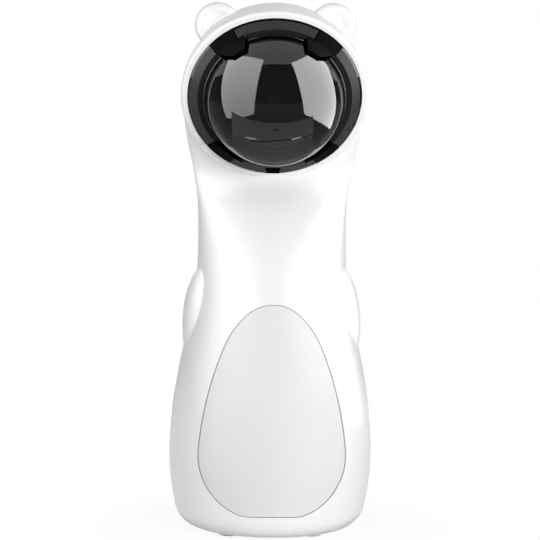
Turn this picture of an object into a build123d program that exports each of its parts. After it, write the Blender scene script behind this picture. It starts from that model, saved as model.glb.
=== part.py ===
from build123d import *
import os
from math import acos, cos, pi, radians, sin, sqrt, tan

# Automatic cat laser toy: a bear-shaped stand whose head holds a smoked dome.
# Behind the dome a motor turns a small laser on a tilting cradle.
# Units are millimetres. +Z is up, -Y is the front, the feet stand on z = 0.

# ---------------------------------------------------------------- clearances
SLIP = 0.05          # radial play of a shaft in its bearing, or a screw in its pilot hole
FIT = 0.1            # play of a piece that is glued or clamped in its seat
GAP = 0.25           # visible gap around a piece set into a shell
MOVE = 0.35          # gap beside a piece that moves

# ---------------------------------------------------------------- dome and bezel
# r is the distance from the face axis, s the height in front of the face plane
DOME_R, DOME_WALL = 27.0, 1.6
DOME_CENTRE_S = -1.0         # the dome is a little less than half a ball
DOME_BASE_S = 1.75           # height of the flange's inner edge
FLANGE_FLAT_R = DOME_R + 2.2
FLANGE_R = FLANGE_FLAT_R + 3.8
FLANGE_THICK = 1.6
DOME_ROOT_ROUND = 0.3
BEZEL_THICK = 1.3
BARREL_R, BARREL_WALL = FLANGE_R - 1.8, 2.0
BARREL_IN_R = BARREL_R - BARREL_WALL
BARREL_BACK = -6.2
HOOK_ANGLE = 50
HOOK_HALF_ANGLE = 9.5
NOTCH_HALF_ANGLE = HOOK_HALF_ANGLE + 0.4
HOOK_TOP_S, HOOK_RIM_S = 8.2, 0.5
CLAW_HEEL, CLAW_TIP = (21.9, 19.5), (11.8, 22.7)
KEY_HALF_WIDTH = 2.6         # small key at the bottom of the flange
KEY_INNER_R = FLANGE_R - 2.8
BARB_OUT, BARB_LENGTH = 0.5, 1.4

# ---------------------------------------------------------------- head
HEAD_Y, HEAD_Z = -10.0, 168.0
HEAD_WALL = 2.4
HEAD_IN_R = FLANGE_R + 2 * FIT
HEAD_R = HEAD_IN_R + HEAD_WALL
FACE_TILT = 22.0             # the face looks this far below the horizon, degrees
LIP_ROUND = 1.1              # rounding of the white lip around the face
SEAT_R = BARREL_R + 2 * FIT   # bore of the seat ring inside the face opening
SEAT_FRONT, SEAT_BACK = -3.1, -4.7
EAR_ANGLE, EAR_SUNK = 39.0, 1.0   # ear centre: angle from the top of the head, depth under its surface
EAR_X = (HEAD_R - EAR_SUNK) * sin(radians(EAR_ANGLE))
EAR_UP = (HEAD_R - EAR_SUNK) * cos(radians(EAR_ANGLE))
EAR_R, EAR_THICK = 8.7, 7.0
EAR_ROUND = 2.6
EAR_DISH_R, EAR_DISH_DEPTH = 5.9, 1.8
EAR_BACK = 1.0               # ear mid-plane behind the head centre

# ---------------------------------------------------------------- body shells
WALL = 2.2                   # wall of both body shells
FOOT_DROP = 1.2              # how far the feet lift the shells off the floor
BASE_ROUND = 10.0            # radius of the rounded bottom edge
BASE_FLARE = 9.0             # lean of the wall where the rounding ends, degrees
# Sections of the body: height, half width, front, widest line and back (all y)
BODY = (
    (FOOT_DROP + BASE_ROUND * (1 - sin(radians(BASE_FLARE))), 36.6, -36.6, 0.0, 36.6),
    (20.0, 38.3, -38.1, 0.0, 38.1),
    (32.0, 38.8, -38.5, 0.0, 38.5),
    (50.0, 37.4, -36.9, 0.3, 36.6),
    (65.0, 34.9, -33.8, 1.0, 33.6),
    (80.0, 31.6, -29.5, 2.2, 30.4),
    (95.0, 29.2, -23.5, 3.8, 27.7),
    (107.0, 28.4, -16.9, 5.6, 26.1),
    (119.0, 28.4, -8.8, 7.4, 25.3),
    (127.5, 28.8, -2.4, 8.4, 25.3),
    (135.0, HEAD_R - 5.8, 3.6, 8.8, 25.7),
    (142.5, HEAD_R - 4.2, 1.4, 7.4, 26.0),
    (150.0, HEAD_R - 2.8, -2.0, 4.0, 25.8),
    (158.0, HEAD_R - 1.4, -5.4, -0.5, 24.2),
    (166.0, HEAD_R - 2.6, -8.6, -3.0, 20.0),
)
LOFT_ROWS = 22               # sections in the loft of the body
SEAM_Y = 4.0                 # where the seam of the two shells meets the floor
SEAM_LEAN = 3.0              # backward lean of the seam, degrees
GROOVE_WIDE, GROOVE_DEEP = 0.3, 0.6   # shadow line along the seam

# Arms: soft bumps low on both sides
ARM_X, ARM_Z = 22.7, 79.0
ARM_R, ARM_HALF_HEIGHT = 11.5, 25.0

# ---------------------------------------------------------------- belly panel
BELLY_TOP = 90.2
# Arcs from the top down one side, each running on from the last: radius and turn in degrees
BELLY_ARCS = ((14.7, 43.6), (35.1, 23.9), (130.0, 18.05), (22.5, 80.5))
BELLY_INSET = 0.3            # panel face below the shell face
BELLY_GLUE = 0.2             # glue film under the panel
BELLY_THICK = 1.5
BELLY_FLOOR = 1.6            # shell left under the panel
BELLY_MARGIN = 3.0           # how far that floor reaches past the panel

# ---------------------------------------------------------------- aiming cradle
HINGE_S = -5.0               # tilt axis behind the face plane
PIN_R, PIN_LENGTH = 1.5, 3.0
ARM_IN_X, ARM_THICK, ARM_WIDE = BARREL_IN_R - 5.6, 2.0, 7.0
EAR_BLOCK_WIDE = 8.0         # bearing blocks inside the bezel's barrel
PLATE_R, PLATE_THICK = ARM_IN_X - 0.4, 2.2
PLATE_BACK_S = -11.2
AXLE_R = 1.5
AXLE_BOSS_R, AXLE_BOSS_H = 3.4, 2.6
TURRET_FRONT_S = -0.8
TURRET_THICK = 1.8
TURRET_R = PLATE_R - 1.0
GEAR_THICK = 2.0
CLIP_R, CLIP_THICK, CLIP_BITE, CLIP_MOUTH = 2.9, 0.5, 0.4, 1.0
CLIP_ROOM_R = CLIP_R + 1.3   # hollow in the turret's cup beside the clip
AIM_RANGE = 8.0              # tilt each way, degrees

# Gear pair
GEAR_TEETH, PINION_TEETH = 46, 12
GEAR_DISTANCE = PLATE_R - 5.8
MODULE = 2 * GEAR_DISTANCE / (GEAR_TEETH + PINION_TEETH)
PRESSURE_ANGLE = 20.0
GEAR_ADDENDUM, PINION_ADDENDUM = 2 / 3 * MODULE, MODULE
DEDENDUM = 1.25 * MODULE
BACKLASH = 0.12              # taken off each tooth's thickness
PINION_LENGTH = 3.0

# Motor
MOTOR_R, MOTOR_LENGTH = 5.0, 9.5
MOTOR_NOSE_R, MOTOR_NOSE_H = 2.5, 1.0
SHAFT_R = 0.75
MOTOR_TAIL_R, MOTOR_TAIL_H = 2.0, 0.8

# Slip rings and brushes
RING_RADII = (6.0, 9.2)
RING_WIDE, RING_THICK = 1.4, 0.3
BRUSH_WIDE, BRUSH_THICK = 1.2, 0.25
BRUSH_FOOT, BRUSH_REACH = 3.0, 5.0

# Laser
LASER_R, LASER_LENGTH = 3.0, 13.0
LASER_OFFSET, LASER_SEAT = 9.0, 0.8
LASER_LEAN = 12.0            # the beam leaves the turret's axis by this angle, degrees
CUP_WALL, CUP_H = 1.2, 6.5
LENS_R, LENS_THICK = 1.9, 1.0

# Aim lever through the back of the head
LEVER_WIDE, LEVER_DEEP = 4.0, 5.0
LEVER_ROUND = 1.2
LEVER_FOOT_R, LEVER_FOOT_H = 5.0, 2.0
PAD_WIDE, PAD_LONG, PAD_THICK = 7.0, 10.0, 2.4
PAD_CLEAR = 0.6

# ---------------------------------------------------------------- base
FLOOR_LEDGE = 0.8            # shell floor left above the base plate
BASE_R, BASE_OPEN_R = 27.0, 20.5
FOOT_XY, FOOT_R = 15.6, 4.0
FOOT_RECESS = 0.6
BASE_SCREW_X, BASE_SCREW_Y = 8.0, 22.6
BASE_BOSS_R, BASE_BOSS_TOP = 2.8, 9.3

# ---------------------------------------------------------------- screws
SCREW_R, SCREW_HEAD_R, SCREW_HEAD_H = 1.2, 2.2, 1.1
SCREW_HOLE_R = 1.4
SHELL_BOSS_R = 3.3
SHELL_SCREWS = ((-20.0, 78.0), (20.0, 78.0), (-19.0, 126.0), (19.0, 126.0))
SHELL_SCREW_LENGTH, SHELL_SCREW_SEAT = 8.0, 3.0
DRIVER_R = 2.6               # screwdriver well in the rear shell

# ---------------------------------------------------------------- batteries
CELL_R, CELL_LENGTH = 7.2, 49.5
CELL_NUB_R, CELL_NUB_H = 2.7, 1.0
CELL_PITCH, CELL_Y, CELL_Z = 15.2, 15.4, 11.2
TRAY_HALF_WIDTH, TRAY_FRONT_Y, TRAY_BACK_Y = 24.0, 6.4, 17.0
TRAY_TOP = 69.0
TRAY_WALL = 1.4
CONTACT_WIDE, CONTACT_THICK, CONTACT_DEEP = 9.0, 0.4, 8.0
SPRING_R, SPRING_WIRE = 2.8, 0.45
DOOR_HALF_WIDTH, DOOR_LOW, DOOR_HIGH = 25.0, 12.5, 68.0
DOOR_CORNER = 4.0
DOOR_THICK = 2.0
GRIP_COUNT, GRIP_PITCH, GRIP_WIDE, GRIP_HIGH, GRIP_DEEP = 4, 2.4, 16.0, 1.1, 0.7
GRIP_TOP = 63.0
RIB_THICK = 1.6

# ---------------------------------------------------------------- electronics
BOARD_HALF_WIDTH, BOARD_LOW, BOARD_HIGH = 15.5, 77.0, 122.0
BOARD_BACK_Y, BOARD_THICK = 16.0, 1.6
BOARD_SCREW_X, BOARD_SCREW_ZS = 12.6, (94.0, 105.0)
BOARD_POST_R = 2.4
BOARD_SCREW_LENGTH = 5.0
SWITCH_Z, SWITCH_SIDE, SWITCH_H = 114.0, 6.0, 3.5
PLUNGER_R, PLUNGER_H = 1.7, 0.8
BUTTON_R, BUTTON_PROUD, BUTTON_TRAVEL = 5.0, 0.9, 0.8
BUTTON_FLANGE_R, BUTTON_FLANGE_H = 6.1, 1.2
BUTTON_STEM_R = 1.5
LED_Z, LED_R, LED_H = 103.5, 1.5, 4.6
PIPE_R, PIPE_PROUD = 1.4, 0.3
USB_Z, USB_WIDE, USB_HIGH, USB_LENGTH = 87.0, 9.0, 3.3, 9.6
USB_SHELL = 0.4
PORT_WIDE, PORT_HIGH, PORT_WALL = 12.6, 7.2, 1.6
CHIP_SIDE, CHIP_H = 7.0, 1.2

# ================================================================ shared forms
FAR = 200.0                                     # longer than the whole toy
FACE_DIR = (0, -cos(radians(FACE_TILT)), -sin(radians(FACE_TILT)))
FACE = Plane(origin=(0, HEAD_Y, HEAD_Z), x_dir=(1, 0, 0), z_dir=FACE_DIR)


def turned(points, angle=360):
    """Solid turned about Z from a closed outline of (radius, height) points."""
    return revolve(Plane.XZ * make_face(Polyline(*points, close=True)), Axis.Z, angle)


def rod(radius, low, high, x=0.0, y=0.0):
    """Round bar along Z between two heights."""
    bar = Cylinder(radius, high - low, align=(Align.CENTER, Align.CENTER, Align.MIN))
    return Pos(x, y, low) * bar


def bar_y(radius, x, z, front, back):
    """Round bar along Y between two depths."""
    return Pos(x, front, z) * Rot(-90, 0, 0) * rod(radius, 0, back - front)


def block(x0, x1, y0, y1, z0, z1):
    """Box between two corners."""
    return Pos((x0 + x1) / 2, (y0 + y1) / 2, (z0 + z1) / 2) * Box(x1 - x0, y1 - y0, z1 - z0)


def slope(rows, at):
    """Slope of a row of points at one of them, from its neighbours."""
    low, high = rows[max(at - 1, 0)], rows[min(at + 1, len(rows) - 1)]
    return (high[1] - low[1]) / (high[0] - low[0])


def body_at(z, value):
    """One value of the body's sections at any height, on a smooth curve through them."""
    rows = [(row[0], row[value]) for row in BODY]
    at = max(number for number, row in enumerate(rows[:-1]) if row[0] <= max(z, rows[0][0]))
    (z0, v0), (z1, v1) = rows[at], rows[at + 1]
    span, t = z1 - z0, (z - z0) / (z1 - z0)
    rise = 3 * t ** 2 - 2 * t ** 3
    out, into = t - 2 * t ** 2 + t ** 3, t ** 3 - t ** 2
    return v0 + (v1 - v0) * rise + span * (out * slope(rows, at) + into * slope(rows, at + 1))


def section(z, inset):
    """Body section: a half ellipse in front and another behind the widest line."""
    half_width, front, middle, back = (body_at(z, value) for value in range(1, 5))
    wide = half_width - inset
    front_arc = EllipticalCenterArc((0, middle), wide, middle - front - inset, 180, arc_size=180)
    back_arc = EllipticalCenterArc((0, middle), wide, back - middle - inset, 0, arc_size=180)
    return Pos(0, 0, z) * make_face([front_arc, back_arc])


def column(inset=0.0):
    """Body and neck, the skin moved inwards by inset: a turned base under one loft."""
    turn, flare = BASE_ROUND - inset, radians(BASE_FLARE)
    low, high = BODY[0][0] + inset * sin(flare), BODY[-1][0]
    faces = [section(low + (high - low) * row / LOFT_ROWS, inset) for row in range(LOFT_ROWS + 1)]
    centre_r, centre_z = BODY[0][1] - BASE_ROUND * cos(flare), FOOT_DROP + BASE_ROUND
    floor, outside = centre_z - turn, centre_r + turn * cos(flare)
    outline = [
        Line((0, low), (0, floor)), Line((0, floor), (centre_r, floor)),
        CenterArc((centre_r, centre_z), turn, -90, 90 - BASE_FLARE), Line((outside, low), (0, low)),
    ]
    return loft(faces) + revolve(Plane.XZ * make_face(outline), Axis.Z)


def arms(inset=0.0):
    """Both arm bumps, each an ellipse turned about its own upright axis."""
    tall, wide = ARM_HALF_HEIGHT - inset, ARM_R - inset
    half = make_face([EllipticalCenterArc((0, 0), wide, tall, -90, arc_size=180), Line((0, -tall), (0, tall))])
    arm = revolve(Plane.XZ * half, Axis.Z)
    return [Pos(side * ARM_X, 0, ARM_Z) * arm for side in (-1, 1)]


def seam_side(front):
    """Everything in front of the leaning seam plane, or everything behind it."""
    slab = Pos(0, (-FAR if front else FAR) / 2, 0) * Box(FAR, FAR, 3 * FAR)
    return Pos(0, SEAM_Y, 0) * Rot(-SEAM_LEAN, 0, 0) * slab


def seam_y(z):
    """Depth of the seam plane at a height."""
    return SEAM_Y + z * tan(radians(SEAM_LEAN))


def seam_groove():
    """Shadow line outside, in front of the seam."""
    slab = Box(FAR, GROOVE_WIDE, 3 * FAR, align=(Align.CENTER, Align.MAX, Align.CENTER))
    core = column(GROOVE_DEEP) + FACE * Sphere(HEAD_R - GROOVE_DEEP)
    for arm in arms(GROOVE_DEEP):
        core += arm
    return Pos(0, SEAM_Y, 0) * Rot(-SEAM_LEAN, 0, 0) * slab - core


def belly_outline(grow=0.0):
    """Prism of the egg-shaped belly panel, running from the front into the body."""
    at, along, side = (0, BELLY_TOP + grow), (1, 0), []
    for radius, turn in BELLY_ARCS:
        side.append(JernArc(at, along, radius + grow, -turn))
        at, along = side[-1] @ 1, side[-1] % 1
    half = make_face(side + [Polyline(at, (0, at.Y), (0, BELLY_TOP + grow))])
    return extrude(Plane.XZ * (half + mirror(half, Plane.YZ)), FAR)


# ================================================================ body shells
def head():
    """Back half of the head ball with a rounded lip at the face."""
    ball = Sphere(HEAD_R, arc_size1=-90, arc_size2=0, align=None)
    rim = ball.edges().filter_by(GeomType.CIRCLE).sort_by(SortBy.LENGTH)[-1]
    return FACE * fillet(rim, LIP_ROUND)


def ear(side):
    """Round ear with a shallow dish in its front."""
    disc = Cylinder(EAR_R, EAR_THICK)
    disc = fillet(disc.edges().filter_by(GeomType.CIRCLE), EAR_ROUND)
    dish_r = (EAR_DISH_R ** 2 + EAR_DISH_DEPTH ** 2) / (2 * EAR_DISH_DEPTH)
    disc -= Pos(0, 0, EAR_THICK / 2 - EAR_DISH_DEPTH + dish_r) * Sphere(dish_r)
    return Pos(side * EAR_X, HEAD_Y + EAR_BACK, HEAD_Z + EAR_UP) * Rot(90, 0, 0) * disc


def seat_ring():
    """Collar inside the lip that the bezel snaps into."""
    ring = turned((
        (SEAT_R, SEAT_BACK), (HEAD_R, SEAT_BACK), (HEAD_R, 0),
        (HEAD_IN_R, 0), (HEAD_IN_R, SEAT_FRONT), (SEAT_R, SEAT_FRONT),
    ))
    return FACE * ring


def hollow():
    """The room inside the shells."""
    room = column(WALL) + FACE * Sphere(HEAD_IN_R)
    for arm in arms(WALL):
        room += arm
    return room


def shells():
    """Both body shells before their bosses and openings."""
    skin = column() + head()
    for arm in arms():
        skin += arm
    for side in (-1, 1):
        skin += ear(side)
    wall = skin - hollow()
    wall += skin & seat_ring()
    return wall


def floor_cut():
    """Seat of the base plate and the hole above it."""
    seat_top = FOOT_DROP + WALL - FLOOR_LEDGE
    return rod(BASE_R, 0, seat_top) + rod(BASE_OPEN_R, 0, FOOT_DROP + 2 * WALL)


def base_bosses(y_side):
    """Two bosses that take the base screws."""
    bosses = []
    for x in (-BASE_SCREW_X, BASE_SCREW_X):
        bosses.append(rod(BASE_BOSS_R, FOOT_DROP + WALL - FLOOR_LEDGE, BASE_BOSS_TOP, x, y_side * BASE_SCREW_Y))
    return bosses


def base_pilots(y_side):
    """Pilot holes of the base screws."""
    top = BASE_BOSS_TOP - 1
    return [rod(SCREW_R + SLIP, 0, top, x, y_side * BASE_SCREW_Y) for x in (-BASE_SCREW_X, BASE_SCREW_X)]


def front_shell(wall):
    """Front half: face opening, ears, belly recess and screw posts."""
    shell = wall & seam_side(True)
    shell -= seam_groove()
    skin = column(WALL / 2)
    floor = belly_outline(BELLY_MARGIN) & (column(WALL / 2) - column(BELLY_INSET + BELLY_THICK + BELLY_FLOOR))
    shell += floor & seam_side(True)
    for x, z in SHELL_SCREWS:
        post = bar_y(SHELL_BOSS_R, x, z, -FAR / 2, FAR / 2) & seam_side(True)
        shell += post & skin
        reach = seam_y(z) - SHELL_SCREW_LENGTH
        shell -= bar_y(SCREW_R + SLIP, x, z, reach, FAR / 2)
    shell -= belly_outline(GAP) - column(BELLY_INSET + BELLY_THICK + BELLY_GLUE)
    shell -= floor_cut()
    for boss in base_bosses(-1):
        shell += boss
    for pilot in base_pilots(-1):
        shell -= pilot
    return shell


def door_prism(grow=0.0):
    """Rounded rectangle of the battery door, running out of the back."""
    wide = 2 * (DOOR_HALF_WIDTH + grow)
    high = DOOR_HIGH - DOOR_LOW + 2 * grow
    outline = Pos(0, (DOOR_LOW + DOOR_HIGH) / 2) * RectangleRounded(wide, high, DOOR_CORNER + grow)
    return Pos(0, TRAY_BACK_Y + 1, 0) * extrude(Plane.XZ * outline, -FAR)


def port_floor_y():
    """Depth of the floor of the well around the USB socket."""
    return BOARD_BACK_Y + USB_LENGTH


def lever_slot():
    """Slot that the aim lever swings in, cut through the back of the head."""
    arm = HEAD_R + HINGE_S
    long = 2 * (arm * tan(radians(AIM_RANGE)) + LEVER_DEEP / 2 + MOVE)
    cut = Box(LEVER_WIDE + 2 * MOVE, long, HEAD_R)
    cut = fillet(cut.edges().filter_by(Axis.Z), LEVER_ROUND + MOVE)
    return FACE * Pos(0, 0, -HEAD_R) * cut


def rear_shell(wall):
    """Rear half: battery opening, button hole, port well, lever slot and bosses."""
    shell = wall & seam_side(False)
    skin = column(WALL / 2)
    for x, z in SHELL_SCREWS:
        post = bar_y(SHELL_BOSS_R, x, z, 0, FAR) & seam_side(False)
        shell += post & skin
        shell -= bar_y(SCREW_HOLE_R, x, z, 0, FAR)
        shell -= bar_y(DRIVER_R, x, z, seam_y(z) + SHELL_SCREW_SEAT, FAR)
    for side in (-1, 1):
        inner = side * (TRAY_HALF_WIDTH + FIT)
        outer = inner + side * RIB_THICK
        low_z, high_z = FOOT_DROP + WALL, TRAY_TOP
        rib = block(min(inner, outer), max(inner, outer), SEAM_Y, FAR / 2, low_z, high_z)
        shell += rib & seam_side(False) & skin
    for x in (-BOARD_SCREW_X, BOARD_SCREW_X):
        for z in BOARD_SCREW_ZS:
            shell += bar_y(BOARD_POST_R, x, z, BOARD_BACK_Y, FAR / 2) & skin
            shell -= bar_y(SCREW_R + SLIP, x, z, BOARD_BACK_Y, BOARD_BACK_Y + BOARD_SCREW_LENGTH)
    well = block(-PORT_WIDE / 2 - PORT_WALL, PORT_WIDE / 2 + PORT_WALL, port_floor_y() - PORT_WALL, FAR / 2,
                 USB_Z - PORT_HIGH / 2 - PORT_WALL, USB_Z + PORT_HIGH / 2 + PORT_WALL)
    shell += well & skin
    pocket = Box(PORT_WIDE, FAR / 2, PORT_HIGH)
    pocket = fillet(pocket.edges().filter_by(Axis.Y), PORT_HIGH / 4)
    shell -= Pos(0, port_floor_y() + FAR / 4, USB_Z) * pocket
    shell -= Pos(0, port_floor_y(), USB_Z) * Box(USB_WIDE + 2 * FIT, 4 * PORT_WALL, USB_HIGH + 2 * FIT)
    shell -= bar_y(BUTTON_R + MOVE / 2, 0, SWITCH_Z, BOARD_BACK_Y, FAR / 2)
    shell -= bar_y(PIPE_R + SLIP, 0, LED_Z, BOARD_BACK_Y, FAR / 2)
    shell -= door_prism(GAP)
    shell -= lever_slot()
    shell -= floor_cut()
    for boss in base_bosses(1):
        shell += boss
    for pilot in base_pilots(1):
        shell -= pilot
    return shell


def belly_panel():
    """Egg-shaped panel that follows the curve of the belly."""
    slab = column(BELLY_INSET) & belly_outline()
    return slab - column(BELLY_INSET + BELLY_THICK)


# ================================================================ face
def flange_bottom():
    return -FLANGE_THICK


def hook_sector(inner, outer, low, high, angle, half_angle):
    """Sector of a ring around the face axis."""
    ring = turned(((inner, low), (outer, low), (outer, high), (inner, high)), 2 * half_angle)
    return Rot(0, 0, angle - half_angle) * ring


def face_dome():
    """Smoked dome with a sloping flange, notched for the bezel's hooks."""
    root = DOME_BASE_S - FLANGE_THICK
    flange = turned((
        (0, root), (DOME_R + 1, root), (FLANGE_FLAT_R + 1, flange_bottom()), (FLANGE_R, flange_bottom()),
        (FLANGE_R, 0), (FLANGE_FLAT_R, DOME_BASE_S), (0, DOME_BASE_S),
    ))
    ball = Pos(0, 0, DOME_CENTRE_S) * Sphere(DOME_R, arc_size1=0, arc_size2=90, align=None)
    dome = flange + ball
    root_r = sqrt(DOME_R ** 2 - (DOME_BASE_S - DOME_CENTRE_S) ** 2)
    root_edge = [
        edge for edge in dome.edges().filter_by(GeomType.CIRCLE)
        if abs(edge.radius - root_r) < 0.01 and abs(edge.center().Z - DOME_BASE_S) < 0.01
    ]
    dome = fillet(root_edge, DOME_ROOT_ROUND)
    dome -= Pos(0, 0, DOME_CENTRE_S) * Sphere(DOME_R - DOME_WALL)
    core = Pos(0, 0, DOME_CENTRE_S) * Sphere(DOME_R)
    for angle in (HOOK_ANGLE, 180 - HOOK_ANGLE, 180 + HOOK_ANGLE, -HOOK_ANGLE):
        notch = hook_sector(root_r - DOME_ROOT_ROUND, FLANGE_R + 1, -FAR / 2, FAR / 2, angle, NOTCH_HALF_ANGLE)
        dome -= notch - core
    key = block(-KEY_HALF_WIDTH - GAP, KEY_HALF_WIDTH + GAP, -FLANGE_R - 1, -KEY_INNER_R + GAP, -5, 5)
    return FACE * (dome - key)


def bezel_hook():
    """Black hook that comes up beside the dome at the upper right and holds its flange down."""
    low = flange_bottom() - FIT - BEZEL_THICK
    floor = DOME_BASE_S + FIT
    first = HOOK_ANGLE - HOOK_HALF_ANGLE
    root = Rot(0, 0, first) * turned((
        (DOME_R + FIT, low), (FLANGE_R, low), (FLANGE_R, HOOK_RIM_S),
        (FLANGE_FLAT_R, DOME_BASE_S + 1.6), (FLANGE_FLAT_R, floor), (DOME_R + FIT, floor),
    ), 2 * HOOK_HALF_ANGLE)
    claw = turned((
        (DOME_R - 2, floor), (FLANGE_FLAT_R, floor), (FLANGE_FLAT_R, DOME_BASE_S + 1.6),
        (DOME_R, HOOK_TOP_S), (DOME_R - 2, HOOK_TOP_S),
    ), 90)
    (heel_x, heel_y), (tip_x, tip_y) = CLAW_HEEL, CLAW_TIP
    outline = Polyline((heel_x, heel_y), (tip_x, tip_y), (tip_x, FLANGE_R), (FLANGE_R, FLANGE_R),
                       (FLANGE_R, heel_y), close=True)
    claw &= extrude(make_face(outline), HOOK_TOP_S + 1)
    return root + claw - Pos(0, 0, DOME_CENTRE_S) * Sphere(DOME_R + FIT)


def bearing_x():
    """Inner face of the bearing blocks, measured from the middle."""
    return ARM_IN_X + ARM_THICK + MOVE


def face_bezel():
    """Black ring behind the flange with hooks, snap barbs and the cradle's bearings."""
    top = flange_bottom() - FIT
    low = top - BEZEL_THICK
    ring = turned((
        (BARREL_IN_R, BARREL_BACK), (BARREL_R, BARREL_BACK), (BARREL_R, low),
        (FLANGE_R, low), (FLANGE_R, top), (BARREL_IN_R, top),
    ))
    upper = bezel_hook() + mirror(bezel_hook(), Plane.YZ)
    ring += upper + mirror(upper, Plane.XZ)
    key_low = -sqrt(FLANGE_R ** 2 - KEY_HALF_WIDTH ** 2)
    ring += block(-KEY_HALF_WIDTH, KEY_HALF_WIDTH, key_low, -KEY_INNER_R, low, HOOK_RIM_S)
    barb = turned((
        (BARREL_R - 0.5, SEAT_BACK - FIT - BARB_LENGTH), (BARREL_R, SEAT_BACK - FIT - BARB_LENGTH),
        (BARREL_R + BARB_OUT, SEAT_BACK - FIT), (BARREL_R - 0.5, SEAT_BACK - FIT),
    ), 20)
    for angle in (90, 210, 330):
        ring += Rot(0, 0, angle - 10) * barb
    for side in (-1, 1):
        bearing = block(bearing_x(), BARREL_R - 1, -EAR_BLOCK_WIDE / 2, EAR_BLOCK_WIDE / 2,
                        HINGE_S - EAR_BLOCK_WIDE / 2, low + 1)
        bearing -= Pos(bearing_x(), 0, HINGE_S) * Rot(0, 90, 0) * rod(PIN_R + SLIP, -1, PIN_LENGTH + MOVE)
        ring += bearing if side > 0 else mirror(bearing, Plane.YZ)
    return FACE * ring


# ================================================================ cradle
def plate_front():
    return PLATE_BACK_S + PLATE_THICK


def turret_back():
    return TURRET_FRONT_S - TURRET_THICK


def gear_back():
    return turret_back() - GEAR_THICK


def cradle_plate():
    """Plate that carries motor, axle and brushes, hung on two pins."""
    plate = rod(PLATE_R, PLATE_BACK_S, plate_front())
    plate = fillet(plate.edges().filter_by(GeomType.CIRCLE).group_by(Axis.Z)[0], 0.6)
    plate += rod(AXLE_BOSS_R, PLATE_BACK_S, plate_front() + AXLE_BOSS_H)
    for side in (-1, 1):
        inner, outer = ARM_IN_X, ARM_IN_X + ARM_THICK
        arm = block(inner - 3, outer, -ARM_WIDE / 2, ARM_WIDE / 2, PLATE_BACK_S, plate_front())
        arm += block(inner, outer, -ARM_WIDE / 2, ARM_WIDE / 2, PLATE_BACK_S, HINGE_S)
        arm += Pos(inner, 0, HINGE_S) * Rot(0, 90, 0) * rod(ARM_WIDE / 2, 0, ARM_THICK)
        pin = Pos(inner, 0, HINGE_S) * Rot(0, 90, 0) * rod(PIN_R, 0, ARM_THICK + MOVE + PIN_LENGTH)
        arm += pin
        plate += arm if side > 0 else mirror(arm, Plane.YZ)
    plate -= rod(MOTOR_NOSE_R + FIT, -FAR, FAR, GEAR_DISTANCE)
    plate -= rod(AXLE_R, -FAR, FAR)
    rim = rod(MOTOR_R + FIT + 1.0, PLATE_BACK_S - 3, PLATE_BACK_S, GEAR_DISTANCE)
    rim -= rod(MOTOR_R + FIT, PLATE_BACK_S - 3, PLATE_BACK_S, GEAR_DISTANCE)
    return FACE * (plate + rim)


def turret_axle():
    """Steel axle pressed into the plate, grooved at its front end for the clip."""
    front = TURRET_FRONT_S + SLIP + CLIP_THICK + 0.8
    pin = rod(AXLE_R, PLATE_BACK_S, front)
    groove = rod(AXLE_R + 1, TURRET_FRONT_S + SLIP, TURRET_FRONT_S + SLIP + CLIP_THICK)
    groove -= rod(AXLE_R - CLIP_BITE, TURRET_FRONT_S - 1, front)
    return FACE * (pin - groove)


def axle_clip():
    """E-clip in the axle's groove."""
    low = TURRET_FRONT_S + SLIP
    clip = rod(CLIP_R, low, low + CLIP_THICK) - rod(AXLE_R - CLIP_BITE, -FAR, FAR)
    slot = block(-CLIP_MOUTH, CLIP_MOUTH, 0, CLIP_R + 1, -FAR, FAR)
    return FACE * (clip - slot)


def gear_motor():
    """Small can motor with its nose through the plate."""
    can = rod(MOTOR_R, PLATE_BACK_S - MOTOR_LENGTH, PLATE_BACK_S, GEAR_DISTANCE)
    can = fillet(can.edges().filter_by(GeomType.CIRCLE), 0.5)
    can += rod(MOTOR_NOSE_R, PLATE_BACK_S - 0.5, PLATE_BACK_S + MOTOR_NOSE_H, GEAR_DISTANCE)
    tail = PLATE_BACK_S - MOTOR_LENGTH
    can += rod(MOTOR_TAIL_R, tail - MOTOR_TAIL_H, tail + 0.5, GEAR_DISTANCE)
    for y in (-3, 3):
        can += block(GEAR_DISTANCE - 0.8, GEAR_DISTANCE + 0.8, y - 0.2, y + 0.2, tail - 1.8, tail + 0.5)
    can -= rod(SHAFT_R + SLIP, PLATE_BACK_S - 3, FAR, GEAR_DISTANCE)
    return FACE * can


def tooth_outline(teeth, addendum):
    """One tooth as points: an involute up one flank and down the other."""
    pitch_r = MODULE * teeth / 2
    base_r = pitch_r * cos(radians(PRESSURE_ANGLE))
    root_r = pitch_r - DEDENDUM
    tip_r = pitch_r + addendum
    pitch_roll = tan(radians(PRESSURE_ANGLE)) - radians(PRESSURE_ANGLE)
    half_at_pitch = pi / (2 * teeth) - BACKLASH / (2 * pitch_r)
    flank = []
    start_r = max(base_r, root_r)
    if root_r < base_r:
        flank.append((root_r, half_at_pitch + pitch_roll))
    for step in range(4):
        r = start_r + (tip_r - start_r) * step / 3
        roll = acos(base_r / r) if r > base_r else 0
        flank.append((r, half_at_pitch + pitch_roll - (tan(roll) - roll)))
    return flank + [(r, -angle) for r, angle in reversed(flank)]


def gear(teeth, addendum, low, high, turn):
    """Spur gear with its first tooth at the angle turn."""
    points = []
    for tooth in range(teeth):
        middle = radians(turn) + 2 * pi * tooth / teeth
        for r, angle in reversed(tooth_outline(teeth, addendum)):
            points.append((r * cos(middle + angle), r * sin(middle + angle)))
    return Pos(0, 0, low) * extrude(make_face(Polyline(*points, close=True)), high - low)


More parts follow.
